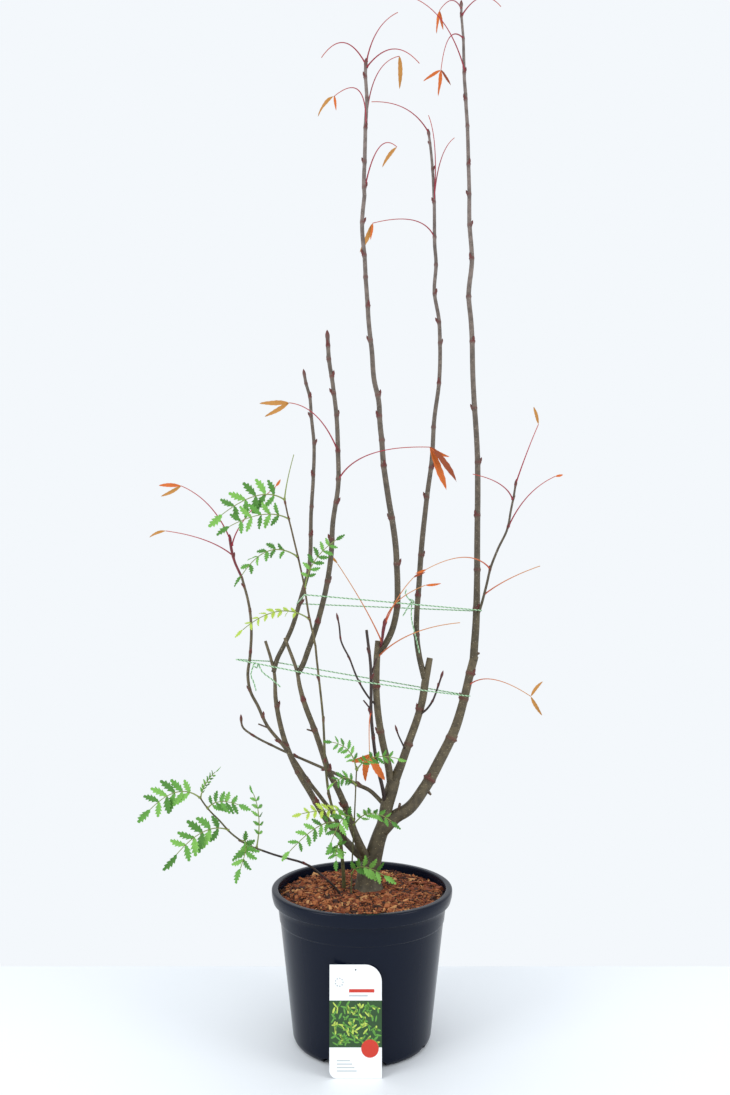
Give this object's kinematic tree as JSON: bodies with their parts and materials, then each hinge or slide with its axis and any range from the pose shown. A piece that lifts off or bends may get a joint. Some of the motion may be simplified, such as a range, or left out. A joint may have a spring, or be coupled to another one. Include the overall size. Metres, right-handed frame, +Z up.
{
  "type": "potted rowan tree",
  "caption": "Slender rowan with several upright stems, nearly bare in late autumn, tied with twine in a round black nursery pot, with a plain card leaning on the pot.",
  "frame": {"origin": "on the floor, on the axis of the round pot, in the plane of the pot's flat underside", "axes": "+Z up along the pot's axis and the stems, -Y towards the viewer and the side that the card leans on, +X to the viewer's right"},
  "size_m": [0.85, 0.3778, 2.1834],
  "materials": {
    "pot_plastic": "satin black moulded polypropylene",
    "growing_mix": "moist composted bark",
    "bark": "smooth grey-brown young bark",
    "stalk": "dry red leaf stalks and withered leaflets",
    "leaf": "matt green leaves",
    "twine": "pale green twine",
    "card": "smooth printed card"
  },
  "bodies": {
    "root": {"centre_bough": "bark", "centre_leader": "bark", "centre_tip": "stalk", "dark_shoot": "bark", "dark_twig": "bark", "far_left_stem": "bark", "far_left_tip": "stalk", "fork_leaves": "stalk", "fork_low_leaf": "stalk", "front_bough": "bark", "front_high_leaf": "stalk", "front_leader": "bark", "front_low_leaf": "stalk", "green_shoot": "leaf", "inner_bough": "bark", "inner_leader": "bark", "inner_spur": "bark", "inner_tip": "stalk", "inner_twig": "bark", "label_card": "card", "left_bough": "bark", "left_leader": "bark", "low_branch": "bark", "low_front_leaf": "leaf", "low_green_leaf": "leaf", "low_left_leaves": "leaf", "low_right_leaf": "stalk", "lower_tie": "twine", "middle_bough": "bark", "olive_leaves": "leaf", "olive_stem": "bark", "orange_leaf": "stalk", "pot": "pot_plastic", "right_bough": "bark", "right_leader": "bark", "right_tip": "stalk", "rim_leaves": "leaf", "rim_stem": "bark", "side_twig": "stalk", "soil": "growing_mix", "trunk": "bark", "upper_tie": "twine"}
  },
  "joints": []
}
